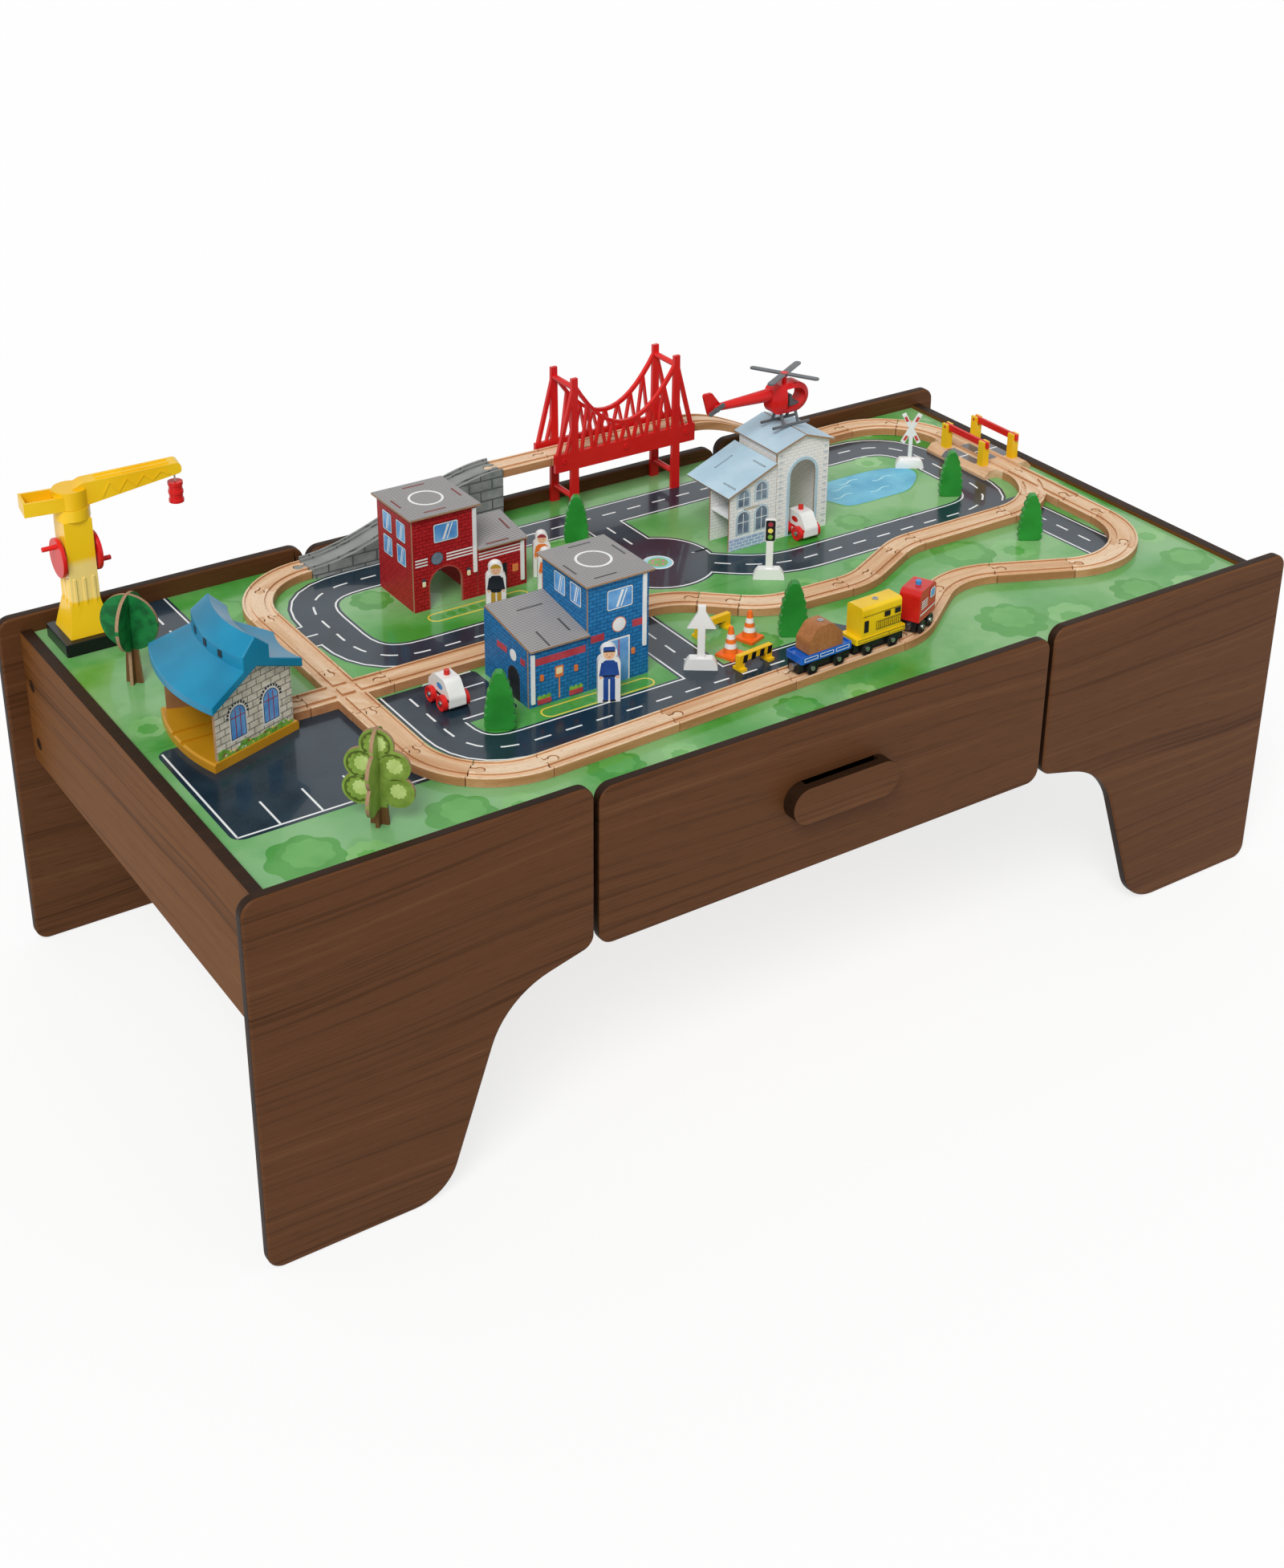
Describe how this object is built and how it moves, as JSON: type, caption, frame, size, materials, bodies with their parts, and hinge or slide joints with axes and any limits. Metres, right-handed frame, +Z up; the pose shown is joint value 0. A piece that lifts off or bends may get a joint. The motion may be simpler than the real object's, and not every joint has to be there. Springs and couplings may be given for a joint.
{
  "type": "train table",
  "caption": "Low walnut-look play table with a front drawer, printed town board, wooden track with bridge, ramps, level crossing, crane, engine shed, card stations, cars and a train.",
  "frame": {"origin": "On the floor under the middle of the table's overall box.", "axes": "X runs along the table, -Y is the side with the drawer, +Z is up."},
  "size_m": [1.44, 0.725, 0.642],
  "materials": {
    "walnut_laminate": "satin walnut-print laminate with rounded dark edges",
    "printed_board": "glossy printed town plan in greens and dark road grey",
    "plain_wood": "bare light board",
    "zinc_steel": "dull zinc-plated cam locks",
    "beech": "smooth bare beech",
    "grey_plastic": "grey moulded plastic",
    "red_plastic": "bright red moulded plastic",
    "yellow_plastic": "bright yellow moulded plastic",
    "black_plastic": "black plastic with metal hub caps",
    "cord": "thin braided cord",
    "mustard_plastic": "ochre moulded plastic",
    "blue_plastic": "sky-blue moulded plastic",
    "printed_card": "printed thick card with brown cut edges",
    "painted_wood": "glossy painted wood",
    "white_plastic": "white moulded plastic with coloured prints"
  },
  "bodies": {
    "table": {"front_left_leg_panel": "walnut_laminate", "front_right_leg_panel": "walnut_laminate", "rear_left_leg_panel": "walnut_laminate", "rear_right_leg_panel": "walnut_laminate", "rear_centre_panel": "walnut_laminate", "left_end_panel": "walnut_laminate", "right_end_panel": "walnut_laminate", "dividers": "walnut_laminate", "front_board": "printed_board", "rear_board": "printed_board", "board_rails": "plain_wood", "drawer_runners": "plain_wood", "panel_fittings": "zinc_steel", "straight_tracks": "beech", "curved_tracks": "beech", "junction_tracks": "beech", "level_crossing_base": "beech", "stone_ramp": "grey_plastic", "wooden_ramp": "beech", "bridge_frame": "red_plastic", "barrier_posts": "yellow_plastic", "crane_base": "black_plastic", "crane_tower": "yellow_plastic", "shed_base": "mustard_plastic", "shed_walls": "printed_card", "shed_roof": "blue_plastic", "fire_station": "printed_card", "police_station": "printed_card", "hospital": "printed_card", "helicopter_body": "red_plastic", "police_car": "painted_wood", "ambulance": "painted_wood", "flat_wagon": "painted_wood", "diesel_engine": "painted_wood", "fire_wagon": "painted_wood", "trees": "painted_wood", "road_furniture": "white_plastic", "figures": "painted_wood"},
    "drawer": {"drawer_front": "walnut_laminate", "drawer_box": "plain_wood", "drawer_bottom": "plain_wood", "drawer_handle": "walnut_laminate"},
    "near_barrier": {"near_barrier_arm": "red_plastic"},
    "far_barrier": {"far_barrier_arm": "red_plastic"},
    "crane_jib": {"crane_boom": "yellow_plastic", "crane_cord": "cord"},
    "crane_winch": {"crane_crank": "red_plastic"},
    "crane_barrel": {"crane_load": "red_plastic"},
    "main_rotor": {"helicopter_rotor": "grey_plastic"},
    "tail_rotor": {"helicopter_tail_rotor": "grey_plastic"},
    "flat_wagon_front_axle": {"flat_front_wheels": "black_plastic"},
    "flat_wagon_rear_axle": {"flat_rear_wheels": "black_plastic"},
    "diesel_front_axle": {"diesel_front_wheels": "black_plastic"},
    "diesel_rear_axle": {"diesel_rear_wheels": "black_plastic"},
    "fire_wagon_front_axle": {"fire_front_wheels": "black_plastic"},
    "fire_wagon_rear_axle": {"fire_rear_wheels": "black_plastic"},
    "police_car_front_axle": {"police_front_wheels": "red_plastic"},
    "police_car_rear_axle": {"police_rear_wheels": "red_plastic"},
    "ambulance_front_axle": {"ambulance_front_wheels": "red_plastic"},
    "ambulance_rear_axle": {"ambulance_rear_wheels": "red_plastic"}
  },
  "joints": [
    {"name": "drawer_slide", "type": "slide", "parent": "table", "child": "drawer", "axis": [0, -1, 0], "range_m": [0, 0.28]},
    {"name": "near_barrier_lift", "type": "hinge", "parent": "table", "child": "near_barrier", "pos_m": [0.60415, 0.18132, 0.4735], "axis": [-1, 0.0074, 0], "range_deg": [0, 80]},
    {"name": "far_barrier_lift", "type": "hinge", "parent": "table", "child": "far_barrier", "pos_m": [0.65814, 0.18092, 0.4735], "axis": [-1, 0.0074, 0], "range_deg": [0, 80]},
    {"name": "crane_swivel", "type": "hinge", "parent": "table", "child": "crane_jib", "pos_m": [-0.63216, 0.29482, 0.605], "axis": [0, 0, 1], "continuous": true},
    {"name": "crane_crank_turn", "type": "hinge", "parent": "table", "child": "crane_winch", "pos_m": [-0.63216, 0.29482, 0.543], "axis": [1, 0, 0], "range_deg": [0, 1440]},
    {"name": "crane_hoist", "type": "slide", "parent": "crane_jib", "child": "crane_barrel", "axis": [0, 0, -1], "range_m": [0, 0.151], "deforming": ["crane_cord"]},
    {"name": "main_rotor_spin", "type": "hinge", "parent": "table", "child": "main_rotor", "pos_m": [0.2635, 0.12391, 0.63703], "axis": [0, 0, 1], "continuous": true},
    {"name": "tail_rotor_spin", "type": "hinge", "parent": "table", "child": "tail_rotor", "pos_m": [0.1525, 0.12391, 0.61569], "axis": [0, 1, 0], "continuous": true},
    {"name": "flat_wagon_front_axle_spin", "type": "hinge", "parent": "table", "child": "flat_wagon_front_axle", "pos_m": [0.06931, -0.23713, 0.44755], "axis": [-0.041, 0.9992, 0], "continuous": true},
    {"name": "flat_wagon_rear_axle_spin", "type": "hinge", "parent": "table", "child": "flat_wagon_rear_axle", "pos_m": [0.02982, -0.23875, 0.44755], "axis": [-0.041, 0.9992, 0], "continuous": true},
    {"name": "diesel_front_axle_spin", "type": "hinge", "parent": "table", "child": "diesel_front_axle", "pos_m": [0.15224, -0.23372, 0.44755], "axis": [-0.041, 0.9992, 0], "continuous": true},
    {"name": "diesel_rear_axle_spin", "type": "hinge", "parent": "table", "child": "diesel_rear_axle", "pos_m": [0.11275, -0.23534, 0.44755], "axis": [-0.041, 0.9992, 0], "continuous": true},
    {"name": "fire_wagon_front_axle_spin", "type": "hinge", "parent": "table", "child": "fire_wagon_front_axle", "pos_m": [0.21818, -0.21835, 0.44755], "axis": [-0.4312, 0.9022, 0], "continuous": true},
    {"name": "fire_wagon_rear_axle_spin", "type": "hinge", "parent": "table", "child": "fire_wagon_rear_axle", "pos_m": [0.19833, -0.22783, 0.44755], "axis": [-0.4312, 0.9022, 0], "continuous": true},
    {"name": "police_car_front_axle_spin", "type": "hinge", "parent": "table", "child": "police_car_front_axle", "pos_m": [-0.3456, -0.08196, 0.43955], "axis": [1, 0, 0], "continuous": true},
    {"name": "police_car_rear_axle_spin", "type": "hinge", "parent": "table", "child": "police_car_rear_axle", "pos_m": [-0.3456, -0.05596, 0.43955], "axis": [1, 0, 0], "continuous": true},
    {"name": "ambulance_front_axle_spin", "type": "hinge", "parent": "table", "child": "ambulance_front_axle", "pos_m": [0.2635, 0.06471, 0.43955], "axis": [1, 0, 0], "continuous": true},
    {"name": "ambulance_rear_axle_spin", "type": "hinge", "parent": "table", "child": "ambulance_rear_axle", "pos_m": [0.2635, 0.09071, 0.43955], "axis": [1, 0, 0], "continuous": true}
  ],
  "couplings": [
    {"joint": "crane_hoist", "follows": "crane_crank_turn", "m_per_rad": 0.006}
  ]
}
